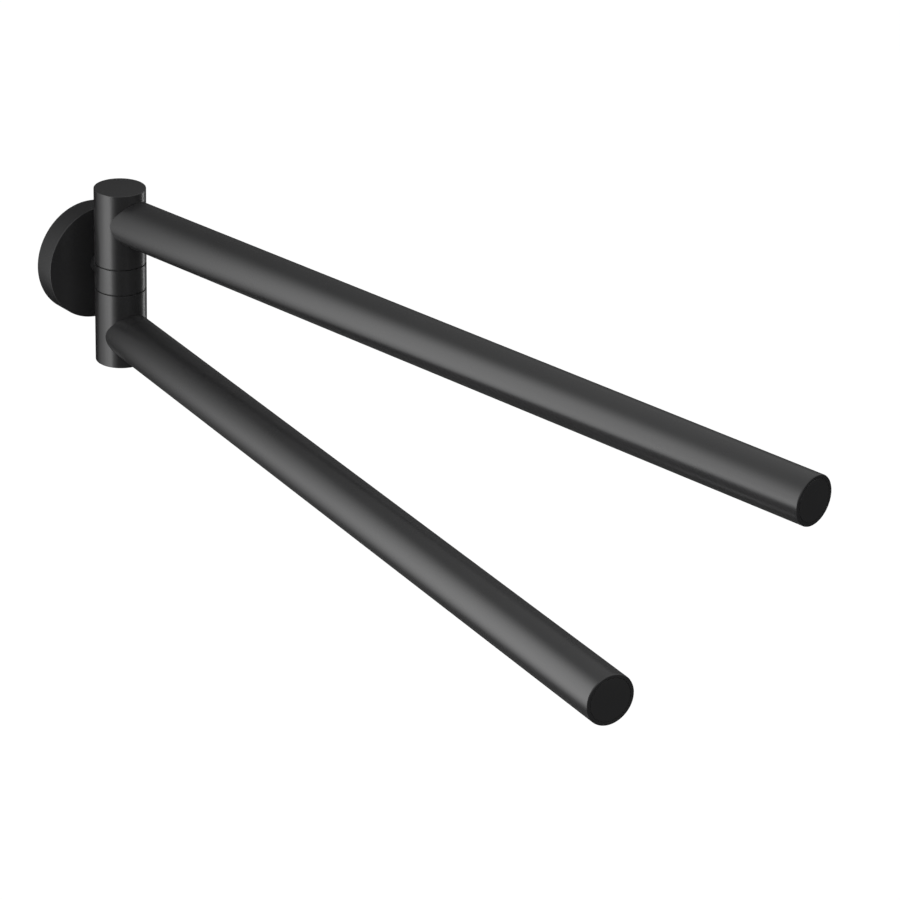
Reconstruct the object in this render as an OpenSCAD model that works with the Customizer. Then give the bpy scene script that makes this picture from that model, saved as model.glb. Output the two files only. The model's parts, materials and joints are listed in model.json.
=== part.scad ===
// Wall towel holder with two swivelling round arms.
// A round rosette hides the wall plate and carries a short neck.
// The neck holds a centre ring, and a fixed vertical pin through the ring
// carries one turning hub above it and one below, each with its own tube arm.
// The wall is the plane y = 0, the holder reaches out along -Y, and +Z is up.
// The origin is the middle of the face that lies on the wall.

/* [Rosette] */
// Outer diameter of the rosette
rosette_d = 49.5; // [47:0.5:60]
// Depth of the rosette, from the wall to its front face
rosette_depth = 9.8; // [9.2:0.1:14]
// Thickness of the rosette's front wall
rosette_face_t = 3; // [2:0.1:3.6]
// Thickness of the rosette's rim
rosette_rim_t = 2.5; // [2:0.1:3.2]

/* [Wall plate] */
// Thickness of the wall plate inside the rosette
plate_t = 5; // [4:0.1:6]
// Opening in the plate for the head of the neck screw
plate_bore_d = 18; // [14:0.5:19]
// Distance between the two wall screw holes
wall_screw_spacing = 31; // [30:0.5:34]
// Diameter of a wall screw hole
wall_hole_d = 5.2; // [4:0.1:5.6]
// Depth of the countersink of a wall screw hole
countersink_depth = 1.6; // [1:0.1:1.8]

/* [Neck] */
// Distance from the wall to the swivel axis
axis_from_wall = 26; // [24:0.5:45]
// Diameter of the neck
neck_d = 9; // [8.5:0.1:9.8]
// Depth of the flat seat cut for the neck in the centre ring
neck_seat_depth = 0.4; // [0.2:0.1:1]
// Diameter of the neck screw
neck_screw_d = 5; // [4:0.1:5.5]
// Head diameter of the neck screw
neck_head_d = 8.5; // [7.5:0.1:10]
// Head height of the neck screw
neck_head_h = 3.5; // [2.5:0.1:4]
// Diameter of the washer under the screw head
washer_d = 12; // [10:0.5:14]
// Thickness of the washer under the screw head
washer_t = 1; // [0.6:0.1:1.4]

/* [Column] */
// Diameter of the column: both hubs and the ring between them
column_d = 22; // [21:0.5:30]
// Height of the centre ring
ring_h = 11; // [10.2:0.1:18]
// Thickness of the glide washers, which show as two fine seams
seam_t = 0.5; // [0.3:0.05:1.2]
// How far the glide washers lie back from the column's surface
seam_recess = 0.4; // [0.2:0.05:1]
// Height of each hub
hub_h = 33; // [31:0.5:45]
// Thickness of the closed end of each hub
hub_end_t = 4.5; // [3:0.1:6]
// Diameter of the fixed pivot pin
pin_d = 8; // [7:0.1:8.6]
// Wall thickness of the bushes
bush_t = 1; // [0.8:0.05:1.3]
// Length of each bush
bush_l = 9; // [6:0.5:11]
// Gap left past the end of the pin in each hub
pin_end_gap = 0.5; // [0.3:0.1:2]
// Depth of the flat on the pin for the tip of the neck screw
pin_flat_depth = 0.4; // [0.2:0.05:0.8]

/* [Arms] */
// Outer diameter of the arm tubes
arm_d = 20; // [18.5:0.1:20.4]
// Wall thickness of the arm tubes
arm_wall = 1.5; // [1:0.1:2]
// Distance from the swivel axis to the end face of each arm
arm_reach = 371.5; // [150:0.5:600]
// Height of the arm's middle over the inner end of its hub
arm_height = 19.25; // [14:0.25:20.5]
// Angle between each arm and the wall's normal at rest, in degrees
splay = 7.25; // [0:0.25:60]
// Thread diameter of the spigot's tail in the hub
spigot_tail_d = 12; // [10:0.5:13]
// Wall left between the spigot's hole and the bush
spigot_floor_t = 0.7; // [0.5:0.1:1.5]
// Length of the spigot inside the tube
spigot_l = 20; // [14:0.5:40]
// Size across the flats of the spigot's key socket
spigot_key = 8; // [6:0.5:8.5]
// Depth of the spigot's key socket
spigot_key_depth = 6; // [4:0.5:7]
// Length of the end plug
plug_l = 9; // [5:0.5:20]
// Wall thickness of the hollow end plug
plug_wall = 2; // [1.2:0.1:3]

/* [Grub screws and brake] */
// Diameter of the grub screws in the hubs and the tubes
grub_d = 4; // [3:0.1:4.5]
// Length of the grub screws in the hubs and the tubes
grub_l = 4; // [3:0.1:4.2]
// Size across the flats of their key socket
grub_key = 2; // [1.5:0.1:2.2]
// Diameter of the rosette's grub screw
rim_grub_d = 3; // [2.5:0.1:3.4]
// Size across the flats of its key socket
rim_grub_key = 1.5; // [1.2:0.1:1.6]
// How far the rosette's grub screw goes into the wall plate
rim_grub_bite = 1.2; // [0.8:0.1:2]
// Diameter of the brake pads
pad_d = 3; // [2.4:0.1:3.4]
// Depth of the pin's grooves for the brake pads
groove_depth = 0.6; // [0.4:0.1:0.9]

/* [Edges and fits] */
// Broken edge on the rosette and the closed ends of the hubs
edge = 0.3; // [0.1:0.05:0.6]
// Fine broken edge at seams, tube ends and screws
fine_edge = 0.2; // [0.1:0.05:0.3]
// Chamfer round the face of the end plugs
plug_edge = 0.4; // [0.2:0.05:0.8]
// Radial clearance of the bushes and pads that turn round the pin
run_fit = 0.05; // [0.03:0.01:0.08]
// Radial clearance of pressed and screwed pieces
tight_fit = 0.03; // [0.02:0.01:0.05]
// Radial clearance of the rosette round its plate
plate_fit = 0.2; // [0.1:0.05:0.4]
// Clearance on each side of a brake pad in its groove
groove_fit = 0.3; // [0.3:0.05:0.6]
// Joint line between the coped tube and its hub
cope_gap = 0.08; // [0.05:0.01:0.2]
// How deep the grub screws sit under the surface
grub_sink = 0.4; // [0.3:0.05:0.6]

/* [Hidden] */
$fn = 96;
upper = 1;
lower = -1;
through = 1;
black = [0.11, 0.11, 0.115];
steel = [0.66, 0.67, 0.69];
zinc = [0.55, 0.56, 0.58];
nylon = [0.86, 0.85, 0.8];
dark_nylon = [0.07, 0.07, 0.07];
column_r = column_d / 2;
pin_r = pin_d / 2;
plate_r = rosette_d / 2 - rosette_rim_t - plate_fit;
plate_screw_y = plate_t / 2;
screw_hole_d = neck_screw_d + 2 * plate_fit;
washer_y = rosette_depth - rosette_face_t;
neck_hole_r = neck_d / 2 + tight_fit;
neck_seat_r = sqrt(column_r * column_r - neck_hole_r * neck_hole_r) - neck_seat_depth;
neck_l = axis_from_wall - neck_seat_r - rosette_depth;
neck_tip_r = pin_r - pin_flat_depth;
hub_z = ring_h / 2 + seam_t;
bore_depth = hub_h - hub_end_t;
bush_bore_r = pin_r + run_fit;
bush_r = bush_bore_r + bush_t;
hub_bore_r = bush_r + tight_fit;
outer_bush_z = bore_depth - pin_end_gap - bush_l;
brake_z = (bush_l + outer_bush_z) / 2;
pin_half = hub_z + bore_depth - pin_end_gap;
groove_r = pin_r - groove_depth;
groove_w = pad_d + 2 * groove_fit;
grub_hole_d = grub_d + 2 * tight_fit;
hub_screw_out = column_r - grub_sink;
pad_out = hub_screw_out - grub_l;
pad_in = groove_r + run_fit;
arm_r = arm_d / 2;
tube_bore_r = arm_r - arm_wall;
cope_r = column_r + cope_gap;
spigot_r = tube_bore_r - tight_fit;
spigot_tip_r = hub_bore_r + spigot_floor_t;
spigot_start = column_r + edge;
tube_screw_at = spigot_start + spigot_l * 3 / 5;
tube_screw_out = arm_r - grub_sink;
tube_screw_in = tube_screw_out - grub_l;
key_round = 2 / sqrt(3);

// Puts +Z out from the wall and +Y up, starting at a distance from the wall
module from_wall(distance) translate([0, -distance, 0]) rotate([90, 0, 0]) children();

// Moves to the swivel axis
module on_axis() translate([0, -axis_from_wall, 0]) children();

// Turns with one arm round the swivel axis: side is upper or lower
module with_arm(side) on_axis() rotate([0, 0, side * splay]) children();

// Stands on the inner end of one hub, with +Z away from the centre ring
module on_hub(side) with_arm(side) rotate([0, side == upper ? 0 : 180, 0])
    translate([0, 0, hub_z]) children();

// Lies along one arm: +Z from the swivel axis to the arm's end, +Y up
module along_arm(side) with_arm(side) translate([0, 0, side * (hub_z + arm_height)])
    rotate([90, 0, 0]) children();

// Round bar from z = 0 with a chamfer at its start and at its end
module bar(r, h, start, end) rotate_extrude()
    polygon([[0, 0], [r - start, 0], [r, start], [r, h - end], [r - end, h], [0, h]]);

// Round tube from z = 0 with chamfers on its outer edges
module sleeve(r, bore_r, h, start, end) rotate_extrude()
    polygon([[bore_r, 0], [r - start, 0], [r, start], [r, h - end], [r - end, h], [bore_r, h]]);

// Hole from z = 0 up to z = h, open at the start
module hole(r, h) translate([0, 0, -through]) cylinder(r = r, h = h + through);

// Hexagon socket for a key, open at the start
module key_socket(across, depth) rotate([0, 0, 30]) translate([0, 0, -through])
    cylinder(d = across * key_round, h = depth + through, $fn = 6);

// Grub screw from its key end at z = 0 to its tip
module grub(d, l, across) difference() {
    bar(d / 2, l, fine_edge, fine_edge);
    key_socket(across, l / 2);
}

module wall_plate() color(zinc) from_wall(0) difference() {
    bar(plate_r, plate_t, fine_edge, fine_edge);
    hole(plate_bore_d / 2, plate_t + through);
    for (side = [-1, 1]) translate([side * wall_screw_spacing / 2, 0, 0]) {
        hole(wall_hole_d / 2, plate_t + through);
        translate([0, 0, plate_t - countersink_depth])
            cylinder(d1 = wall_hole_d, d2 = wall_hole_d + 2 * countersink_depth, h = countersink_depth);
        translate([0, 0, plate_t])
            cylinder(d = wall_hole_d + 2 * countersink_depth, h = through);
    }
    translate([0, -plate_r, plate_screw_y]) rotate([-90, 0, 0])
        hole(rim_grub_d / 2 + tight_fit, rim_grub_bite);
}

module rosette() color(black) from_wall(0) difference() {
    bar(rosette_d / 2, rosette_depth, fine_edge, edge);
    hole(plate_r + plate_fit, rosette_depth - rosette_face_t);
    hole(screw_hole_d / 2, rosette_depth + through);
    translate([0, -rosette_d / 2, plate_screw_y]) rotate([-90, 0, 0])
        hole(rim_grub_d / 2 + tight_fit, rosette_rim_t + plate_fit);
}

// Holds the rosette on the wall plate from below
module rosette_screw() color(steel)
    from_wall(plate_screw_y) translate([0, -rosette_d / 2 + grub_sink, 0]) rotate([-90, 0, 0])
        grub(rim_grub_d, rosette_rim_t + plate_fit + rim_grub_bite - grub_sink, rim_grub_key);

module neck() color(black) from_wall(rosette_depth) difference() {
    bar(neck_d / 2, neck_l, fine_edge, fine_edge);
    hole(screw_hole_d / 2, neck_l + through);
}

module neck_washer() color(steel) from_wall(washer_y - washer_t)
    sleeve(washer_d / 2, screw_hole_d / 2, washer_t, fine_edge, fine_edge);

// Comes from inside the rosette, through the neck, and clamps the pivot pin
module neck_screw() color(steel) from_wall(washer_y - washer_t - neck_head_h) {
    head_r = neck_head_d / 2;
    tip = axis_from_wall - neck_tip_r - washer_y + washer_t + neck_head_h;
    difference() {
        union() {
            bar(head_r, neck_head_h, edge, 0);
            bar(neck_screw_d / 2, tip, 0, fine_edge);
        }
        key_socket(neck_screw_d * 3 / 5, neck_head_h * 3 / 5);
    }
}

module centre_ring() color(black) on_axis() difference() {
    translate([0, 0, -ring_h / 2]) bar(column_r, ring_h, fine_edge, fine_edge);
    translate([0, 0, -ring_h / 2]) hole(pin_r + tight_fit, ring_h + through);
    rotate([-90, 0, 0]) cylinder(d = neck_screw_d + 2 * tight_fit, h = column_d);
    translate([0, neck_seat_r, 0]) rotate([-90, 0, 0]) cylinder(r = neck_hole_r, h = column_r);
}

// Fixed pin that both hubs turn on, with a flat for the neck screw
module pivot_pin() color(steel) on_axis() difference() {
    translate([0, 0, -pin_half]) bar(pin_r, 2 * pin_half, edge, edge);
    translate([-pin_d, neck_tip_r, -neck_screw_d / 2 - tight_fit])
        cube([2 * pin_d, pin_d, neck_screw_d + 2 * tight_fit]);
    for (side = [upper, lower])
        translate([0, 0, side * (hub_z + brake_z) - groove_w / 2]) difference() {
            cylinder(r = pin_r + through, h = groove_w);
            translate([0, 0, -through]) cylinder(r = groove_r, h = groove_w + 2 * through);
        }
}

// Glide washer between the centre ring and one hub
module glide_washer(side) color(dark_nylon) on_axis()
    translate([0, 0, side == upper ? ring_h / 2 : -ring_h / 2 - seam_t]) difference() {
        cylinder(r = column_r - seam_recess, h = seam_t);
        hole(pin_r + run_fit, seam_t + through);
    }

module hub(side) color(black) difference() {
    on_hub(side) difference() {
        bar(column_r, hub_h, fine_edge, edge);
        hole(hub_bore_r, bore_depth);
        translate([0, 0, brake_z]) rotate([-90, 0, 0]) cylinder(d = grub_hole_d, h = column_d);
    }
    along_arm(side) translate([0, 0, spigot_tip_r])
        cylinder(r = spigot_tail_d / 2 + tight_fit, h = column_d);
}

module bush(side, z) color(nylon) on_hub(side) translate([0, 0, z])
    sleeve(bush_r, bush_bore_r, bush_l, fine_edge, fine_edge);

// Nylon pad that drags in the pin's groove and keeps the hub on the pin
module brake_pad(side) color(nylon) on_hub(side)
    translate([0, pad_in, brake_z]) rotate([-90, 0, 0]) cylinder(d = pad_d, h = pad_out - pad_in);

// Presses the brake pad, from the side of the hub that faces the wall
module hub_screw(side) color(steel) on_hub(side)
    translate([0, hub_screw_out, brake_z]) rotate([90, 0, 0]) grub(grub_d, grub_l, grub_key);

// Turned core that screws into the hub and carries the tube
module spigot(side) color(steel) along_arm(side) difference() {
    union() {
        translate([0, 0, spigot_tip_r])
            bar(spigot_tail_d / 2, spigot_start - spigot_tip_r + edge, edge, 0);
        translate([0, 0, spigot_start]) bar(spigot_r, spigot_l, edge, edge);
    }
    translate([0, 0, spigot_start + spigot_l]) mirror([0, 0, 1])
        key_socket(spigot_key, spigot_key_depth);
    translate([0, -tube_screw_in, tube_screw_at]) rotate([90, 0, 0])
        cylinder(d = grub_hole_d, h = arm_d);
}

// Locks the tube on the spigot, from the underside
module tube_screw(side) color(steel) along_arm(side)
    translate([0, -tube_screw_out, tube_screw_at]) rotate([-90, 0, 0])
        grub(grub_d, grub_l, grub_key);

// Arm tube, coped to sit on the round hub
module tube(side) color(black) along_arm(side) difference() {
    sleeve(arm_r, tube_bore_r, arm_reach, 0, fine_edge);
    rotate([90, 0, 0]) cylinder(r = cope_r, h = 2 * column_d, center = true);
    translate([0, 0, tube_screw_at]) rotate([90, 0, 0])
        cylinder(d = grub_hole_d, h = arm_d);
}

// Plug pressed into the end of the tube, flush with it
module end_plug(side) color(black) along_arm(side) translate([0, 0, arm_reach - plug_l])
    difference() {
        bar(tube_bore_r - tight_fit, plug_l, edge, plug_edge);
        hole(tube_bore_r - plug_wall, plug_l - plug_wall);
    }

wall_plate();
rosette();
rosette_screw();
neck();
neck_washer();
neck_screw();
centre_ring();
pivot_pin();
glide_washer(upper);  // upper_glide_washer
glide_washer(lower);  // lower_glide_washer
hub(upper);  // upper_hub
bush(upper, 0);  // upper_inner_bush
bush(upper, outer_bush_z);  // upper_outer_bush
brake_pad(upper);  // upper_brake_pad
hub_screw(upper);  // upper_hub_screw
spigot(upper);  // upper_spigot
tube_screw(upper);  // upper_tube_screw
tube(upper);  // upper_tube
end_plug(upper);  // upper_end_plug
hub(lower);  // lower_hub
bush(lower, 0);  // lower_inner_bush
bush(lower, outer_bush_z);  // lower_outer_bush
brake_pad(lower);  // lower_brake_pad
hub_screw(lower);  // lower_hub_screw
spigot(lower);  // lower_spigot
tube_screw(lower);  // lower_tube_screw
tube(lower);  // lower_tube
end_plug(lower);  // lower_end_plug
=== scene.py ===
# %% [markdown]
# # A wall towel holder with two swivelling arms
# The holder is a bathroom fitting in matte black: a round rosette on the wall, a short column in
# front of it, and two round tubes that swing sideways from the column at two heights.
# A construction model already gives every piece its true size, place and joint, so this lesson
# doesn't guess any of them. It rebuilds the surfaces that show, with the fine broken edges and the
# powder coat that a construction model leaves out, and it lights them like a product photograph.

# %% The construction model
import json
import math

import bmesh
import bpy
from mathutils import Matrix, Vector


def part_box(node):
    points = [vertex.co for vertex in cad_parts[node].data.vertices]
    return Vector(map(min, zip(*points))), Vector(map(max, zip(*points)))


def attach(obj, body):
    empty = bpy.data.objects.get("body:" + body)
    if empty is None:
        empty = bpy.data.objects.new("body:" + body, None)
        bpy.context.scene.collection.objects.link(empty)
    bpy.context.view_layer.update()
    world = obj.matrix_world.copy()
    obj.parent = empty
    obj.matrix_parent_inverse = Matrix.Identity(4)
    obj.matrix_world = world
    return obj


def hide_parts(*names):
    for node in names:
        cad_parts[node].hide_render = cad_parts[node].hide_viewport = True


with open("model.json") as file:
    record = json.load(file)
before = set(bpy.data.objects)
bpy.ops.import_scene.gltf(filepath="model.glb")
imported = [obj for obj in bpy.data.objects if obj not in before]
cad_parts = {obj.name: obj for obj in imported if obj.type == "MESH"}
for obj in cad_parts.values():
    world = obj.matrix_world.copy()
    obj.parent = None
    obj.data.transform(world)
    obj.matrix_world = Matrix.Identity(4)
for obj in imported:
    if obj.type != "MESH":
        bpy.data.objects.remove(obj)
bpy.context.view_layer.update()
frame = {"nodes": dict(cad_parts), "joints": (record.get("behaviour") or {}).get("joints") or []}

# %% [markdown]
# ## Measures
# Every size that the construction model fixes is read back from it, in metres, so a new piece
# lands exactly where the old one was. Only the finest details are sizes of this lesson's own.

MM = 0.001
UPPER, LOWER = 1, -1
SIDE_NAME = {UPPER: "upper", LOWER: "lower"}


def extent(node):
    """Width, depth and height of a construction node."""
    low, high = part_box(node)
    return high - low


swivel = {joint["name"]: joint for joint in frame["joints"]}["upper_swivel"]
axis = Vector(swivel["pos_m"])
splay = math.radians(90 - swivel["range_deg"][1])
column_r = extent("centre_ring").x / 2
tube_low, tube_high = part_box("upper_tube")
arm_r = extent("upper_tube").z / 2
arm_z = (tube_low.z + tube_high.z) / 2
arm_reach = (axis.y - tube_low.y - arm_r * math.sin(splay)) / math.cos(splay)
print(f"column {column_r * 2 / MM:.1f} mm, arm {arm_r * 2 / MM:.1f} mm, reach {arm_reach / MM:.1f} mm")
print(f"each arm is turned {math.degrees(splay):.2f} degrees from straight out")

# %% [markdown]
# Some sizes can't be read from a box, such as a bore or a wall. Each piece below repeats the
# construction model's values for those, and these few serve all the pieces. A broken edge is the
# tiny rounding that a turned metal part always has: without it no rim catches the light, and metal
# looks like paper. A round that shows gets many sides, and a narrow hole gets few.

# %% Fits, edges and rounds
tight = 0.03 * MM
edge = 0.3 * MM
fine_edge = 0.2 * MM
SHOWN, INNER, BORE, HOLE = 192, 96, 64, 48
print(f"close fit {tight / MM:.2f} mm, broken edges {edge / MM:.1f} and {fine_edge / MM:.1f} mm")

# %% [markdown]
# ## Working by hand, in code
# Modelling by hand goes: add a primitive, enter edit mode, pick some edges or faces, and run an
# operator on them. An operator acts on all that is selected, so the first helpers select one piece
# and open and close it.

# %% Opening and closing a piece


def only(piece):
    """Selects one object and nothing else."""
    bpy.ops.object.select_all(action="DESELECT")
    piece.select_set(True)
    bpy.context.view_layer.objects.active = piece


def shape(piece):
    """Opens a piece in edit mode with nothing picked."""
    only(piece)
    bpy.ops.object.mode_set(mode="EDIT")
    bpy.ops.mesh.select_all(action="DESELECT")


def close():
    """Points all faces outwards and leaves edit mode."""
    bpy.ops.mesh.select_all(action="SELECT")
    bpy.ops.mesh.normals_make_consistent(inside=False)
    bpy.ops.object.mode_set(mode="OBJECT")

# %% [markdown]
# In a script the picking is done by place, because there is nobody to click. All pieces here are
# turned ones, modelled upright, so a height and a radius are enough to find any rim or flat end.

# %% Picking by place
NEAR = 2e-6


def pick(kind, test):
    """Picks the VERT, EDGE or FACE items that pass a test."""
    bpy.ops.mesh.select_mode(type=kind)
    bpy.ops.mesh.select_all(action="DESELECT")
    mesh = bmesh.from_edit_mesh(bpy.context.edit_object.data)
    items = {"VERT": mesh.verts, "EDGE": mesh.edges, "FACE": mesh.faces}[kind]
    for item in items:
        if test(item):
            item.select_set(True)
    bmesh.update_edit_mesh(bpy.context.edit_object.data)


def corners(item):
    """The vertices of an edge or face, or the vertex itself."""
    return getattr(item, "verts", [item])


def level(height, radius=None):
    """Test for items that lie at one height, and at one radius if that is given."""
    def test(item):
        return all(
            abs(v.co.z - height) < NEAR and (radius is None or abs(v.co.xy.length - radius) < NEAR)
            for v in corners(item)
        )
    return test

# %% [markdown]
# Three moves shape nearly every piece: a bevel on a rim, an inset on a flat end, and an extrude
# that pulls what was inset in or out. With these, each piece below reads as a list of moves.

# %% Moves on rims and ends


def break_rim(height, radius, width, steps=3):
    """Rounds a round rim by a small width."""
    pick("EDGE", level(height, radius))
    bpy.ops.mesh.bevel(offset=width, offset_type="OFFSET", segments=steps, profile=0.5, affect="EDGES")


def ring_inside(height, width):
    """Adds a ring of faces inside a flat end."""
    pick("FACE", level(height))
    bpy.ops.mesh.inset(thickness=width)


def draw_along(depth):
    """Pulls the picked flat end along Z, which makes a bore or a shank."""
    bpy.ops.mesh.extrude_region_move(TRANSFORM_OT_translate={"value": (0, 0, depth)})

# %% [markdown]
# A round bar is where every turned piece starts. It stands upright at the origin while it is
# shaped, and it is moved to its place on the holder only when it is done.

# %% Round bars


def bar(name, radius, length, sides=SHOWN, start=0.0, ends="NGON"):
    """Round bar that stands on z = start."""
    bpy.ops.object.select_all(action="DESELECT")
    bpy.ops.mesh.primitive_cylinder_add(
        vertices=sides,
        radius=radius,
        depth=length,
        end_fill_type=ends,
        location=(0, 0, start + length / 2),
    )
    bpy.ops.object.transform_apply(location=True, rotation=True, scale=True)
    piece = bpy.context.object
    piece.name = name
    piece.data.name = name
    return piece


def move(piece, place):
    """Puts a piece at a place and leaves its object at the origin."""
    only(piece)
    piece.matrix_world = place
    bpy.ops.object.transform_apply(location=True, rotation=True, scale=True)

# %% [markdown]
# Cutters are plain bars and hexagons that are taken away with a Boolean modifier, as a drill or a
# broach would. Weighted normals at the end keep flat faces flat in the light, although their rims
# are rounded and shaded smooth.

# %% Cuts and the last pass
HARD_EDGE = math.radians(35)
FULL_WEIGHT = 100


def cut(piece, cutter, place=None):
    """Takes a cutter away from a piece."""
    if place is not None:
        move(cutter, place)
    only(piece)
    modifier = piece.modifiers.new("cut", "BOOLEAN")
    modifier.operation = "DIFFERENCE"
    modifier.solver = "EXACT"
    modifier.object = cutter
    bpy.ops.object.modifier_apply(modifier=modifier.name)
    bpy.data.objects.remove(cutter)


def smooth(piece):
    """Shades a piece smooth, but keeps its hard edges and flat faces."""
    only(piece)
    bpy.ops.object.shade_smooth_by_angle(angle=HARD_EDGE)
    weighted = piece.modifiers.new("flat faces stay flat", "WEIGHTED_NORMAL")
    weighted.keep_sharp = True
    weighted.weight = FULL_WEIGHT
    bpy.ops.object.modifier_apply(modifier=weighted.name)

# %% [markdown]
# Three places serve all pieces: out from the wall, along an arm, and on a hub. Each is a matrix
# that takes a piece, modelled upright at the origin, to where it sits on the holder. Two quarter
# turns lay an upright piece down, with its top away from the wall or towards it.

# %% Places
OUTWARDS = Matrix.Rotation(math.radians(90), 4, "X")
TO_WALL = Matrix.Rotation(math.radians(-90), 4, "X")
hub_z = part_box("upper_hub")[0].z


def at(x, y, z):
    """Shift by a distance along each axis."""
    return Matrix.Translation((x, y, z))


def from_wall(distance):
    """+Z of the piece points away from the wall."""
    return at(0, -distance, 0) @ OUTWARDS


def with_arm(side):
    """Turned with one arm round the swivel axis."""
    return Matrix.Translation(axis) @ Matrix.Rotation(side * splay, 4, "Z")


def along_arm(side):
    """+Z of the piece points from the swivel axis to the arm's end."""
    return with_arm(side) @ at(0, 0, side * arm_z) @ OUTWARDS


def on_hub(side):
    """Stands on the inner end of a hub, with +Z away from the centre ring."""
    flip = Matrix.Rotation(0 if side == UPPER else math.pi, 4, "Y")
    return with_arm(side) @ flip @ at(0, 0, hub_z)


def settle(piece, place, finish, body, node):
    """Puts a finished piece in place of its construction node."""
    move(piece, place)
    piece.data.materials.clear()
    piece.data.materials.append(finish)
    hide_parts(node)
    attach(piece, body)
    print(f"{piece.name}: {len(piece.data.polygons)} faces for {node}")

# %% [markdown]
# ## Shader maths
# A finish is worked out from numbers that vary over the surface. Written as Math nodes they are
# hard to read, so a small class wraps a socket and lets plain Python operators add those nodes.

# %% Values


class Value:
    """A number that varies over a surface."""

    def __init__(self, tree, socket):
        self.tree = tree
        self.socket = socket

    def _maths(self, operation, first, second):
        node = self.tree.nodes.new("ShaderNodeMath")
        node.operation = operation
        for entry, term in zip(node.inputs, (first, second)):
            if isinstance(term, Value):
                self.tree.links.new(term.socket, entry)
            else:
                entry.default_value = term
        return Value(self.tree, node.outputs[0])

    def __add__(self, other):
        return self._maths("ADD", self, other)

    __radd__ = __add__

    def __sub__(self, other):
        return self._maths("SUBTRACT", self, other)

    def __rsub__(self, other):
        return self._maths("SUBTRACT", other, self)

    def __mul__(self, other):
        return self._maths("MULTIPLY", self, other)

    __rmul__ = __mul__

    def at_most(self, other):
        """The smaller of two."""
        return self._maths("MINIMUM", self, other)

    def at_least(self, other):
        """The larger of two."""
        return self._maths("MAXIMUM", self, other)

    def root(self):
        """The square root."""
        return self._maths("SQRT", self, 0)

# %% [markdown]
# Every other node comes from one method of the finish: its settings first, then its sockets. The
# few nodes that most finishes need, such as a noise or a bump, get a short name each.

# %% Finishes


class Finish:
    """A material, or the world, that is built node by node."""

    def __init__(self, owner):
        owner.use_nodes = True
        self.owner = owner
        self.tree = owner.node_tree
        self.tree.nodes.clear()

    def node(self, kind, settings=None, sockets=None, output=0):
        """Adds a node, sets it up, feeds its sockets and gives back one output."""
        node = self.tree.nodes.new(kind)
        for name, setting in (settings or {}).items():
            setattr(node, name, setting)
        for name, value in (sockets or {}).items():
            if isinstance(value, Value):
                self.tree.links.new(value.socket, node.inputs[name])
            else:
                node.inputs[name].default_value = value
        return Value(self.tree, node.outputs[output]) if node.outputs else None

    def place(self):
        """Where a point is on the object."""
        return self.node("ShaderNodeTexCoord", output=3)

    def noise(self, place, scale, detail):
        """Clouds of a size: the larger the scale, the finer they are."""
        clouds = {"Vector": place, "Scale": scale, "Detail": detail}
        return self.node("ShaderNodeTexNoise", sockets=clouds)

    def between(self, factor, dark, light):
        """A colour between two colours."""
        colours = {"Factor": factor, 6: dark, 7: light}
        return self.node("ShaderNodeMix", {"data_type": "RGBA"}, colours, output=2)

    def bump(self, height, strength, distance):
        """Normals of a relief."""
        relief = {"Height": height, "Strength": strength, "Distance": distance}
        return self.node("ShaderNodeBump", sockets=relief)

    def fade(self, value, low, high, start, end, kind="SMOOTHSTEP"):
        """Goes from start to end while the value goes from low to high."""
        steps = {0: value, 1: low, 2: high, 3: start, 4: end}
        return self.node("ShaderNodeMapRange", {"interpolation_type": kind}, steps)


def surface(name, look):
    """A material whose Principled shader gets the sockets that look() returns."""
    material = bpy.data.materials.new(name)
    finish = Finish(material)
    shader = finish.node("ShaderNodeBsdfPrincipled", sockets=look(finish))
    finish.node("ShaderNodeOutputMaterial", sockets={"Surface": shader})
    return material

# %% [markdown]
# ## Matte black powder coat
# The coat is baked powder: near-black, even, and silky rather than dead flat. From a step away it
# is one soft sheen, and close up it has a very fine orange peel, with pores finer still. Paint
# could be one flat colour, but then the peel and the faint unevenness that every coat has are
# missing and it reads as plastic. So three noises work at three sizes: a slow one shifts the tone
# and the sheen a little, a half-millimetre one makes the peel, and the finest makes the powder's
# grain. The plugs in the tube ends show no sheen at all in the picture, so theirs is a duller coat.

# %% Powder coat
coat_dark = (0.0148, 0.0148, 0.0153, 1)
coat_light = (0.0182, 0.0182, 0.0187, 1)
coat_drift, coat_peel, coat_grain = 45, 1500, 7000
coat_relief = 0.02 * MM
silky_sheen = {"roughness": 0.28, "shine": 0.5}
dull_sheen = {"roughness": 0.5, "shine": 0.15}


def powder_coat(sheen):
    """Baked black powder with a sheen: how rough it is and how strongly it shines."""
    def look(finish):
        place = finish.place()
        drift = finish.noise(place, coat_drift, detail=2)
        peel = finish.noise(place, coat_peel, detail=2)
        grain = finish.noise(place, coat_grain, detail=1)
        return {
            "Base Color": finish.between(drift, coat_dark, coat_light),
            "Roughness": sheen["roughness"] - 0.03 + drift * 0.04 + grain * 0.02,
            "Specular IOR Level": sheen["shine"],
            "Normal": finish.bump(peel * 0.8 + grain * 0.2, strength=0.35, distance=coat_relief),
        }
    return look


black_coat = surface("powder_coat_black", powder_coat(silky_sheen))
dull_coat = surface("powder_coat_dull", powder_coat(dull_sheen))
print("coats:", black_coat.name, dull_coat.name)

# %% [markdown]
# ## Metal and nylon
# Little of the bare metal shows: the screws, and from behind the plate on the wall side. Turned
# steel carries fine rings from the lathe, one after another along the bar, so the finish is made
# once for bars that stand and once for bars that point at the wall. Zinc plate is dull and cloudy.
# Both scatter a part of their light, which keeps them grey where they face nothing bright.
# Nylon is a soft off-white, and black in the two washers that make the seams.

# %% Turned steel
steel_grey = (0.55, 0.55, 0.56, 1)
lathe_rings, steel_clouds = 900, 300
lathe_relief = 0.01 * MM


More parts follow.
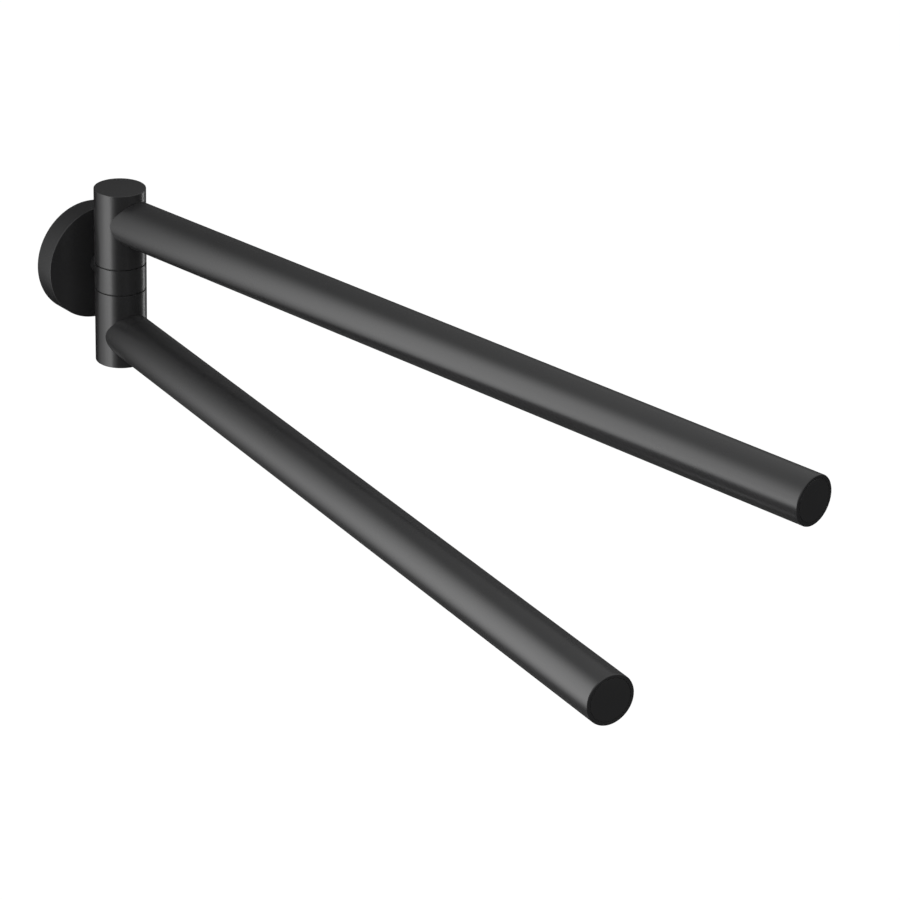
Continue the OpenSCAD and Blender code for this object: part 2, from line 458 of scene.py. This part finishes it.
def turned_steel(along):
    """Steel with lathe rings one after another along an axis."""
    def look(finish):
        place = finish.place()
        rings = finish.node(
            "ShaderNodeTexWave",
            {"bands_direction": along},
            {"Vector": place, "Scale": lathe_rings, "Distortion": 2, "Detail": 2},
        )
        return {
            "Base Color": steel_grey,
            "Metallic": 0.7,
            "Roughness": 0.26 + finish.noise(place, steel_clouds, detail=3) * 0.14,
            "Normal": finish.bump(rings, strength=0.15, distance=lathe_relief),
        }
    return look


steel_upright = surface("turned_steel_upright", turned_steel("Z"))
steel_to_wall = surface("turned_steel_to_wall", turned_steel("Y"))
print("steels:", steel_upright.name, steel_to_wall.name)

# %% Zinc plate
zinc_dark, zinc_light = (0.42, 0.43, 0.45, 1), (0.60, 0.60, 0.61, 1)
zinc_clouds, zinc_spangle = 160, 500


def zinc_plate(finish):
    """Plated steel: cloudy grey with small spangles in its sheen."""
    place = finish.place()
    cloud = finish.noise(place, zinc_clouds, detail=5)
    spangle = finish.node("ShaderNodeTexVoronoi", sockets={"Vector": place, "Scale": zinc_spangle})
    return {
        "Base Color": finish.between(cloud, zinc_dark, zinc_light),
        "Metallic": 0.5,
        "Roughness": 0.38 + cloud * 0.12 + spangle * 0.08,
    }


zinc = surface("zinc_plated", zinc_plate)
print("plating:", zinc.name)

# %% Nylon
nylon_clouds = 600


def nylon(light, dark):
    """Moulded nylon that varies a little between two tones."""
    def look(finish):
        cloud = finish.noise(finish.place(), nylon_clouds, detail=2)
        return {"Base Color": finish.between(cloud, dark, light), "Roughness": 0.45 + cloud * 0.1}
    return look


nylon_white = surface("nylon_natural", nylon((0.80, 0.78, 0.72, 1), (0.72, 0.70, 0.64, 1)))
nylon_black = surface("nylon_black", nylon((0.012, 0.012, 0.012, 1), (0.007, 0.007, 0.007, 1)))
print("nylons:", nylon_white.name, nylon_black.name)

# %% [markdown]
# ## Rosette
# The rosette is a spun or cast cup, open to the wall, that hides the plate. It could be a solid
# disc, because nobody sees inside, but then the plate would sit inside it. So the bar gets a
# rounded front rim, its back is inset to the rim's wall and pushed in, and the two screw ways are
# drilled.

# %% Rosette
rosette_r, rosette_depth = extent("rosette").x / 2, extent("rosette").y
rosette_face_t = 3 * MM
rosette_rim_t = 2.5 * MM
face_ring = 0.5 * MM
screw_way_r = 2.7 * MM
rim_grub_r = 1.5 * MM
rim_grub_z = extent("wall_plate").y / 2

cover = bar("rosette_cup", rosette_r, rosette_depth)
shape(cover)
break_rim(rosette_depth, rosette_r, edge)
ring_inside(rosette_depth, face_ring)
break_rim(0, rosette_r, fine_edge, steps=2)
ring_inside(0, rosette_rim_t - fine_edge)
draw_along(rosette_depth - rosette_face_t)
close()
cut(cover, bar("way", screw_way_r, 4 * rosette_face_t, HOLE, rosette_depth - 2 * rosette_face_t))
rim_way = bar("rim_way", rim_grub_r + tight, 3 * rosette_rim_t, sides=32)
cut(cover, rim_way, at(0, -rosette_r - rosette_rim_t, rim_grub_z) @ TO_WALL)
smooth(cover)
settle(cover, from_wall(0), black_coat, "bracket", "rosette")

# %% [markdown]
# ## Wall plate
# The plate shows only from behind: a zinc-plated disc with a wide opening for the neck screw's
# head and two countersunk holes. Dark rounds laid on a disc would do from straight behind, but at
# a slant one looks at the walls of the holes. So they are cut right through, and the countersinks
# are cut with cones.

# %% Wall plate
plate_r, plate_t = extent("wall_plate").x / 2, extent("wall_plate").y
plate_bore_r = 9 * MM
wall_hole_r = 2.6 * MM
countersink = 1.6 * MM
hole_x = 15.5 * MM

plate = bar("wall_disc", plate_r, plate_t)
shape(plate)
break_rim(0, plate_r, fine_edge, steps=2)
break_rim(plate_t, plate_r, fine_edge, steps=2)
close()
cut(plate, bar("way", plate_bore_r, 3 * plate_t, INNER, -plate_t))
for x in (-hole_x, hole_x):
    cut(plate, bar("way", wall_hole_r, 3 * plate_t, HOLE, -plate_t), at(x, 0, 0))
    bpy.ops.object.select_all(action="DESELECT")
    bpy.ops.mesh.primitive_cone_add(
        vertices=HOLE,
        radius1=wall_hole_r - countersink,
        radius2=wall_hole_r + 2 * countersink,
        depth=3 * countersink,
        location=(x, 0, plate_t - countersink / 2),
    )
    cut(plate, bpy.context.object)
smooth(plate)
settle(plate, from_wall(0), zinc, "bracket", "wall_plate")

# %% [markdown]
# ## Neck
# A short post carries the column clear of the rosette. It is almost hidden in the shade, and from
# the front a plain rod would do. But from the side it is what holds everything, so it is a bored
# bar with broken edges, and the long screw runs through it.

# %% Neck
neck_r, neck_l = extent("neck").x / 2, extent("neck").y

post = bar("neck_post", neck_r, neck_l, INNER)
shape(post)
break_rim(0, neck_r, fine_edge, steps=2)
break_rim(neck_l, neck_r, fine_edge, steps=2)
close()
cut(post, bar("way", screw_way_r, 3 * neck_l, HOLE, -neck_l))
smooth(post)
settle(post, from_wall(rosette_depth), black_coat, "bracket", "neck")

# %% [markdown]
# ## Neck screw and washer
# From behind, through the plate, one sees the head of the screw that clamps it all. The head has a
# rounded rim and a hexagon socket, so a bare disc won't do. The socket is a six-sided cutter.

# %% Neck washer
washer_r, washer_t = extent("neck_washer").x / 2, extent("neck_washer").y
washer_y = rosette_depth - rosette_face_t - washer_t

disc = bar("washer_disc", washer_r, washer_t, INNER)
shape(disc)
break_rim(0, washer_r, fine_edge, steps=2)
break_rim(washer_t, washer_r, fine_edge, steps=2)
close()
cut(disc, bar("way", screw_way_r, 3 * washer_t, HOLE, -washer_t))
smooth(disc)
settle(disc, from_wall(washer_y), steel_to_wall, "bracket", "neck_washer")

# %% Neck screw
head_r, screw_l = extent("neck_screw").x / 2, extent("neck_screw").y
head_h = 3.5 * MM
head_edge = 0.5 * MM
head_key = 3 * MM
socket_depth = 2 * MM
shank_r = 2.5 * MM


def key_socket(across, depth):
    """Cutter for a six-sided key, centred on z = 0."""
    return bar("socket", across / math.sqrt(3), 2 * depth, sides=6, start=-depth)


screw = bar("clamp_screw", head_r, head_h, INNER)
shape(screw)
break_rim(0, head_r, head_edge)
ring_inside(head_h, head_r - shank_r)
draw_along(screw_l - head_h)
break_rim(screw_l, shank_r, fine_edge, steps=2)
close()
cut(screw, key_socket(head_key, socket_depth))
smooth(screw)
settle(screw, from_wall(washer_y - head_h), steel_to_wall, "bracket", "neck_screw")

# %% [markdown]
# ## Grub screws
# Five grub screws lock things from where one doesn't look: one under the rosette, one at the back
# of each hub and one under each tube. Their holes could stay empty, but that shows from behind and
# from below, and a real holder would then come apart. One screw is modelled for each size, with
# its key socket, and copied.

# %% Grub screw of the rosette
grub_sink = 0.4 * MM


def grub(name, radius, length, across):
    """Headless screw with its key socket at z = 0."""
    piece = bar(name, radius, length, HOLE)
    shape(piece)
    break_rim(0, radius, fine_edge, steps=2)
    break_rim(length, radius, fine_edge, steps=2)
    close()
    cut(piece, key_socket(across, length / 2))
    smooth(piece)
    return piece


rim_grub_key = 1.5 * MM
rim_grub = grub("rosette_grub", rim_grub_r, extent("rosette_screw").z, rim_grub_key)
settle(rim_grub, at(0, -rim_grub_z, grub_sink - rosette_r), steel_upright,
       "bracket", "rosette_screw")

# %% Grub screws of the arms
grub_r, grub_l, grub_key = 2 * MM, 4 * MM, 2 * MM
brake_height = 14 * MM
tube_screw_at = 23.3 * MM


def copy_of(piece, name):
    """A copy with its own mesh."""
    only(piece)
    bpy.ops.object.duplicate(linked=False)
    twin = bpy.context.object
    twin.name = name
    twin.data.name = name
    return twin


stock_grub = grub("stock_grub", grub_r, grub_l, grub_key)
for side in (UPPER, LOWER):
    name = SIDE_NAME[side]
    behind_hub = on_hub(side) @ at(0, column_r - grub_sink, brake_height) @ OUTWARDS
    settle(copy_of(stock_grub, name + "_hub_grub"), behind_hub, steel_to_wall,
           name + "_arm", name + "_hub_screw")
    under_tube = along_arm(side) @ at(0, grub_sink - arm_r, tube_screw_at) @ TO_WALL
    settle(copy_of(stock_grub, name + "_tube_grub"), under_tube, steel_upright,
           name + "_arm", name + "_tube_screw")
bpy.data.objects.remove(stock_grub)

# %% [markdown]
# ## Centre ring and glide washers
# The middle of the column doesn't turn. Two thin nylon washers part it from the hubs, set back a
# little, and what one sees of them is the two fine dark seams. The seams could be drawn as lines in
# the coat, but real gaps keep their width from every side and when an arm swings.

# %% Centre ring
ring_h = extent("centre_ring").z
pin_r = extent("pivot_pin").x / 2
neck_sink = 0.4 * MM
neck_seat = math.sqrt(column_r**2 - (neck_r + tight)**2) - neck_sink
past_column = column_r + 2 * MM

middle = bar("ring_body", column_r, ring_h, start=-ring_h / 2)
shape(middle)
for end in (-ring_h / 2, ring_h / 2):
    break_rim(end, column_r, fine_edge, steps=2)
close()
cut(middle, bar("way", pin_r + tight, 2 * ring_h, BORE, -ring_h))
cut(middle, bar("way", shank_r + tight, past_column, HOLE), TO_WALL)
cut(middle, bar("seat", neck_r + tight, column_r, INNER, neck_seat), TO_WALL)
smooth(middle)
settle(middle, Matrix.Translation(axis), black_coat, "bracket", "centre_ring")

# %% Glide washers
seam_r, seam_h = extent("upper_glide_washer").x / 2, extent("upper_glide_washer").z
seam_edge = 0.1 * MM
seam_play = 0.05 * MM

for side in (UPPER, LOWER):
    name = SIDE_NAME[side]
    seam_z = side * (ring_h + seam_h) / 2
    glide = bar(name + "_glide", seam_r, seam_h, sides=128, start=seam_z - seam_h / 2)
    shape(glide)
    for end in (-0.5, 0.5):
        break_rim(seam_z + end * seam_h, seam_r, seam_edge, steps=2)
    close()
    cut(glide, bar("way", pin_r + seam_play, 4 * ring_h, BORE, -2 * ring_h))
    smooth(glide)
    settle(glide, Matrix.Translation(axis), nylon_black, "bracket", name + "_glide_washer")

# %% [markdown]
# ## Hubs
# A hub is a bar of the column's own diameter with a closed, flat outer end. It is bored from the
# ring's side for the pin, drilled from behind for the brake screw, and in front for the spigot
# that the tube sits on. Both hubs are the same part, one of them upside down, so one model serves
# twice.

# %% Hubs
hub_h = extent("upper_hub").z
hub_bore_r = 5.08 * MM
hub_end_t = 4.5 * MM
spigot_hole_r = 6.03 * MM
spigot_floor = 5.78 * MM
end_ring = 0.4 * MM

hub = bar("hub", column_r, hub_h)
shape(hub)
break_rim(hub_h, column_r, edge)
ring_inside(hub_h, end_ring)
break_rim(0, column_r, fine_edge, steps=2)
ring_inside(0, column_r - fine_edge - hub_bore_r)
draw_along(hub_h - hub_end_t)
close()
cut(hub, bar("way", grub_r + tight, past_column, HOLE), at(0, 0, brake_height) @ TO_WALL)
cut(hub, bar("way", spigot_hole_r, column_r, BORE, spigot_floor), at(0, 0, arm_z - hub_z) @ OUTWARDS)
smooth(hub)
for side in (UPPER, LOWER):
    name = SIDE_NAME[side]
    settle(copy_of(hub, name + "_hub_body"), on_hub(side), black_coat,
           name + "_arm", name + "_hub")
bpy.data.objects.remove(hub)

# %% [markdown]
# ## Tubes
# Each tube is coped: its root is cut to the hub's round, so that the two meet in a crisp saddle
# with a hairline joint. A Boolean could cut that, but it leaves slivers along the joint which
# can't be rounded. Here the root loops are wrapped onto the hub instead. Every vertex slides along
# the tube until it meets a round of the hub's size, so the loops stay clean and take a bevel.

# %% The tube with its bore
plug_r = extent("upper_end_plug").z / 2
tube_bore_r = plug_r + tight

tube = bar("tube", arm_r, arm_reach, ends="NOTHING")
shape(tube)
to_bore = tube_bore_r / arm_r
for end in (0, arm_reach):
    pick("EDGE", level(end, arm_r))
    bpy.ops.mesh.extrude_edges_move()
    bpy.ops.transform.resize(value=(to_bore, to_bore, 1), center_override=(0, 0, end))
pick("EDGE", lambda e: level(0, tube_bore_r)(e) or level(arm_reach, tube_bore_r)(e))
bpy.ops.mesh.bridge_edge_loops()
close()

# %% The root is wrapped onto the hub
cope_gap = 0.08 * MM
cope_r = column_r + cope_gap

root = tube.vertex_groups.new(name="root")
root.add([v.index for v in tube.data.vertices if v.co.z < NEAR], 1, "REPLACE")
hub_round = bar("hub_round", cope_r, 4 * column_r, sides=512, start=-2 * column_r)
move(hub_round, OUTWARDS)
wrap = tube.modifiers.new("cope", "SHRINKWRAP")
wrap.target = hub_round
wrap.vertex_group = "root"
wrap.wrap_method = "PROJECT"
wrap.use_project_z = True
wrap.use_positive_direction = True
wrap.use_negative_direction = False
only(tube)
bpy.ops.object.modifier_apply(modifier=wrap.name)
bpy.data.objects.remove(hub_round)
tube.vertex_groups.clear()

# %% [markdown]
# The root's outer edge and both edges of the far end are then broken. The far end's rim catches a
# thin line of light. The lock screw's hole is drilled from below, between two cuts round the tube,
# so that the hole disturbs only a short stretch of the long faces.

# %% Edges and lock screw hole of the tube
tube_end_edge = 0.5 * MM
thin_edge = 0.15 * MM
hole_margin = 3 * MM


def on_saddle(item):
    """Test for edges that lie on the outer loop of the coped root."""
    return all(v.co.z <= cope_r + NEAR and abs(v.co.xy.length - arm_r) < NEAR for v in item.verts)


shape(tube)
pick("EDGE", on_saddle)
bpy.ops.mesh.bevel(offset=thin_edge, segments=2, affect="EDGES")
break_rim(arm_reach, arm_r, tube_end_edge)
break_rim(arm_reach, tube_bore_r, thin_edge, steps=2)
for cut_at in (tube_screw_at - hole_margin, tube_screw_at + hole_margin):
    bpy.ops.mesh.select_all(action="SELECT")
    bpy.ops.mesh.bisect(plane_co=(0, 0, cut_at), plane_no=(0, 0, 1))
close()
cut(tube, bar("way", grub_r + tight, arm_r + 2 * MM, HOLE), at(0, 0, tube_screw_at) @ OUTWARDS)
smooth(tube)
for side in (UPPER, LOWER):
    name = SIDE_NAME[side]
    settle(copy_of(tube, name + "_arm_tube"), along_arm(side), black_coat,
           name + "_arm", name + "_tube")
bpy.data.objects.remove(tube)

# %% [markdown]
# ## End plugs
# A plug closes each tube flush with its end. What shows is a flat disc inside the rim of the
# tube, parted from it by the plug's own rounded edge. A tube with a closed end would be simpler,
# but it would lack that fine line. So the plug is a short cup of its own, pressed in.

# %% End plugs
plug_l = 9 * MM
plug_wall = 2 * MM
plug_back = arm_reach - plug_l

plug = bar("plug", plug_r, plug_l, start=plug_back)
shape(plug)
break_rim(arm_reach, plug_r, fine_edge)
ring_inside(arm_reach, end_ring)
ring_inside(plug_back, plug_wall)
draw_along(plug_l - plug_wall)
close()
smooth(plug)
for side in (UPPER, LOWER):
    name = SIDE_NAME[side]
    settle(copy_of(plug, name + "_plug_disc"), along_arm(side), dull_coat,
           name + "_arm", name + "_end_plug")
bpy.data.objects.remove(plug)

# %% [markdown]
# ## Pieces that stay
# The pin, bushes, brake pads and spigots lie inside. Their construction solids are already right,
# so they stay as they are and only take their finish.

# %% Finishes of the inner pieces
inner_finish = {"pivot_pin": steel_upright}
for name in SIDE_NAME.values():
    inner_finish[name + "_spigot"] = steel_to_wall
    for piece in ("_inner_bush", "_outer_bush", "_brake_pad"):
        inner_finish[name + piece] = nylon_white
for node, finish in inner_finish.items():
    for finish_slot in frame["nodes"][node].material_slots:
        finish_slot.material = finish
print(len(inner_finish), "inner nodes finished")

# %% [markdown]
# ## Floor and background
# The holder hangs at chest height on a wall that the picture leaves out: it is cut out on pure
# white. So there is only a pale floor far below, and a white world. Both look white to the camera
# and in reflections, by way of Light Path, and not because more light falls on the holder. The
# floor keeps a part of its own shading, which is where the holder's shadow falls.

# %% Floor
floor_drop = 1.2
floor_size = 16
floor_pale, floor_shade, floor_glow = (0.8, 0.8, 0.8, 1), (0.1, 0.1, 0.1, 1), 0.93
WHITE = (1, 1, 1, 1)
SEEN = ("Is Camera Ray", "Is Glossy Ray", "Is Transmission Ray")


def seen_white(finish):
    """1 where a ray comes from the camera, a reflection or glass."""
    seen = [finish.node("ShaderNodeLightPath", output=name) for name in SEEN]
    return (seen[0] + seen[1] + seen[2]).at_most(1)


bpy.ops.object.select_all(action="DESELECT")
bpy.ops.mesh.primitive_plane_add(size=floor_size, location=(0, 0, -floor_drop))
floor = bpy.context.object
floor.name = "floor"
floor_paint = bpy.data.materials.new("floor_white")
paint = Finish(floor_paint)
pale = paint.node("ShaderNodeBsdfDiffuse", sockets={"Color": floor_pale})
shade = paint.node("ShaderNodeBsdfDiffuse", sockets={"Color": floor_shade})
glow = paint.node("ShaderNodeEmission", sockets={"Color": WHITE, "Strength": floor_glow})
white = paint.node("ShaderNodeAddShader", sockets={0: shade, 1: glow})
both = paint.node("ShaderNodeMixShader", sockets={0: seen_white(paint), 1: pale, 2: white})
paint.node("ShaderNodeOutputMaterial", sockets={"Surface": both})
floor.data.materials.append(floor_paint)
print(f"floor {floor_drop} m below the holder")

# %% World
room_light = 1.0
world = bpy.data.worlds.new("studio")
bpy.context.scene.world = world
sky = Finish(world)
room = sky.node("ShaderNodeBackground", sockets={"Color": WHITE, "Strength": room_light})
paper = sky.node("ShaderNodeBackground", sockets={"Color": WHITE, "Strength": 1.0})
both = sky.node("ShaderNodeMixShader", sockets={0: seen_white(sky), 1: room, 2: paper})
sky.node("ShaderNodeOutputWorld", sockets={"Surface": both})
print("room light", room_light)

# %% [markdown]
# ## Cloth round the set
# A black object in a white room goes grey, because its sheen mirrors the room. A product
# photographer hangs cloth round it, out of the picture. This cloth is black below the holder,
# which keeps the front of the column dark, and above it glows grey by itself, a painted reflection
# that stands for lit grey cloth, so that the bars read as round from the sides and from behind too.
# It shows in reflections alone: the camera, the shadows and the soft light that fills the room pass
# through it, so it paints the sheen, dark below and pale above, and nothing else.

# %% Cloth
cloth_reach = 1.6
cloth_bottom = -1.1
cloth_top = 2.0
cloth_dark_to = -0.1
cloth_grey_from = 0.8
cloth_grey = 0.9


def in_reflections_only(piece, name, finish, level_here):
    """Makes a stage piece that glows by itself and shows in glossy reflections alone."""
    piece.name = name
    shine = finish.node("ShaderNodeEmission", sockets={"Color": level_here})
    finish.node("ShaderNodeOutputMaterial", sockets={"Surface": shine})
    finish.owner.cycles.emission_sampling = "NONE"
    piece.data.materials.append(finish.owner)
    piece.visible_camera = False
    piece.visible_diffuse = False
    piece.visible_shadow = False
    piece.visible_transmission = False
    print(name, [round(side, 2) for side in piece.dimensions], "m")


bpy.ops.object.select_all(action="DESELECT")
bpy.ops.mesh.primitive_cube_add(
    size=1,
    location=(0, 0, (cloth_top + cloth_bottom) / 2),
    scale=(2 * cloth_reach, 2 * cloth_reach, cloth_top - cloth_bottom),
)
cloth = Finish(bpy.data.materials.new("cloth_painted_dark_to_grey"))
here = cloth.node("ShaderNodeNewGeometry")
height = cloth.node("ShaderNodeSeparateXYZ", sockets={0: here}, output=2)
# Painted reflection: no glow below, a grey glow above that stands for lit cloth.
grey = cloth.fade(height, cloth_dark_to, cloth_grey_from, 0.0, cloth_grey)
in_reflections_only(bpy.context.object, "cloth", cloth, grey)

# %% [markdown]
# ## Wall card with painted light
# The long light bands on the arms are a wall, mirrored in the coat. That wall is a card with painted
# light: no lamp lights it, and a wide pool of painted light stands where a lamp on the left would
# throw one, right behind the holder, falling off to grey past the column. The same reflections
# agree on a depth of a few centimetres behind the rosette, so the card stands there. It is a plane
# that glows by itself: one round pool of painted light with a soft edge, wider to the left than to
# the right, on a card painted dim below and paler above. Right behind the column a painted shadow
# stands for the holder's own shade, and a little painted light beside that shadow keeps the left
# edge of the column dark and the rim of the rosette bright. Like the cloth it shows in reflections
# alone, so all of it is a painted reflection.

# %% Wall card
card_depth = 0.05
card_size = 3.0
# Painted pool of light, where a lamp on the left would throw one.
pool_middle = (-0.55, 0.0)
pool_reach = {"left": 1.1, "right": 0.42, "below": 0.38, "above": 0.57}
pool_full, pool_gone = 0.45, 1.35
pool_light = 3.2
# Painted levels of the card: dim below, paler above.
card_below, card_level, card_above = 0.09, 0.1, 0.8
below_from, level_at, above_at = -0.25, 0.05, 0.6
# Painted shadow that stands for the holder's own shade on the wall.
shade_middle, shade_full, shade_gone = (0.015, -0.03), 0.05, 0.085
shade_tall = 1.2
# A little painted light beside the painted shadow.
glow_middle, glow_reach, glow_light = (-0.13, -0.06), 0.1, 0.35

bpy.ops.object.select_all(action="DESELECT")
bpy.ops.mesh.primitive_plane_add(
    size=card_size, location=(0, card_depth, 0), rotation=(math.radians(90), 0, 0)
)
card = Finish(bpy.data.materials.new("wall_card_painted_light"))
place = card.place()
across = card.node("ShaderNodeSeparateXYZ", sockets={0: place}, output=0)
upwards = card.node("ShaderNodeSeparateXYZ", sockets={0: place}, output=1)


def off_from(middle, right=1.0, left=1.0, above=1.0, below=1.0):
    """Distance on the card from a place, each way measured in its own unit."""
    x_off, z_off = across - middle[0], upwards - middle[1]
    x_off = (x_off * (1 / right)).at_least(x_off * (-1 / left))
    z_off = (z_off * (1 / above)).at_least(z_off * (-1 / below))
    return (x_off * x_off + z_off * z_off).root()


# The card's glow: painted pool, painted levels and painted light, darkened by the painted shadow.
pool = card.fade(off_from(pool_middle, **pool_reach), pool_full, pool_gone, 1.0, 0.0)
rest = card.fade(upwards, below_from, level_at, card_below, card_level, "LINEAR")
rest = rest + card.fade(upwards, level_at, above_at, 0.0, card_above - card_level, "LINEAR")
glow = card.fade(off_from(glow_middle), 0.0, glow_reach, glow_light, 0.0)
# Painted shadow: the card goes dark near the column, whatever the lamps do.
to_shade = off_from(shade_middle, above=shade_tall, below=shade_tall)
lit = card.fade(to_shade, shade_full, shade_gone, 0.0, 1.0)
level_here = (rest + (pool_light - rest) * pool + glow) * lit
in_reflections_only(bpy.context.object, "wall_card", card, level_here)

# %% [markdown]
# ## Soft boxes
# A black coat shows its shape by a few strokes of light, so each lamp here draws one of them. The
# tall box low on the left draws the bright line down the column, and a paler strip beside it
# softens the front of that line. The box low on the right draws the thin line on the column's far
# edge. Two boxes below the arms lift their lower sides, and two behind and above them lift their
# upper edges and the column's flat top. All stay modest, because the even light of the room
# already shows each colour about as it is written. A box is given by its azimuth and elevation in
# degrees, its distance, width and height in metres, its brightness, and how far it is turned.

# %% Soft boxes
aim = Vector((0, -0.15, 0))


def soft_box(name, azimuth, elevation, distance, width, height, brightness, turn=0):
    """Area lamp that faces the holder, placed by angles as the camera is."""
    azimuth, elevation = math.radians(azimuth), math.radians(elevation)
    towards = Vector((
        math.sin(azimuth) * math.cos(elevation),
        -math.cos(azimuth) * math.cos(elevation),
        math.sin(elevation),
    ))
    light = bpy.data.lights.new(name, "AREA")
    light.shape = "RECTANGLE"
    light.size = width
    light.size_y = height
    light.energy = brightness * math.pi * width * height
    lamp = bpy.data.objects.new(name, light)
    bpy.context.scene.collection.objects.link(lamp)
    facing = towards.to_track_quat("Z", "Y").to_matrix().to_4x4()
    turned = Matrix.Rotation(math.radians(turn), 4, "Z")
    lamp.matrix_world = Matrix.Translation(aim + distance * towards) @ facing @ turned
    lamp.visible_camera = False
    print(f"{name}: {light.energy:.2f} W")


soft_box("left_front", -92, -21, 1.05, 0.40, 0.65, 3.7, -15)
soft_box("left_strip", -73.5, -19, 0.90, 0.20, 0.50, 0.8, 15)
soft_box("right_rim", 100, -26, 1.15, 0.25, 0.46, 3.8, 5)
soft_box("under", -120, -44, 0.90, 0.26, 0.35, 0.75, 8)
soft_box("under_back", -143, -60, 0.65, 0.25, 0.20, 1.0)
soft_box("back_right", 127, 13, 1.28, 0.35, 0.25, 0.4, 35)
soft_box("top_back", 140, 40, 0.97, 0.64, 0.40, 0.12, -13)

# %% [markdown]
# ## Camera
# The view was measured: the camera stands to the left of the wall's normal, above the holder,
# with a long lens, and is turned a little round its own axis. It looks past the column, so that
# the column sits at the upper left of the frame, and the arms' ends at the lower right.

# %% Camera
camera_azimuth = math.radians(-39.885)
camera_elevation = math.radians(25.034)
camera_roll = math.radians(1.838)
camera_distance = 1.5248
slide_right = 0.13938
slide_up = -0.07463

camera = bpy.data.objects.new("camera", bpy.data.cameras.new("camera"))
bpy.context.scene.collection.objects.link(camera)
camera.data.sensor_width = 36
camera.data.lens = 144.12
back = Vector((
    math.sin(camera_azimuth) * math.cos(camera_elevation),
    -math.cos(camera_azimuth) * math.cos(camera_elevation),
    math.sin(camera_elevation),
))
flat_right = Vector((0, 0, 1)).cross(back).normalized()
flat_up = back.cross(flat_right)
right = math.cos(camera_roll) * flat_right + math.sin(camera_roll) * flat_up
top = math.cos(camera_roll) * flat_up - math.sin(camera_roll) * flat_right
stand = axis + back * camera_distance + right * slide_right + top * slide_up
camera.matrix_world = Matrix.Translation(stand) @ Matrix((right, top, back)).transposed().to_4x4()
bpy.context.scene.camera = camera
bpy.context.scene.view_settings.view_transform = "Standard"
print("camera at", [round(x, 3) for x in stand])
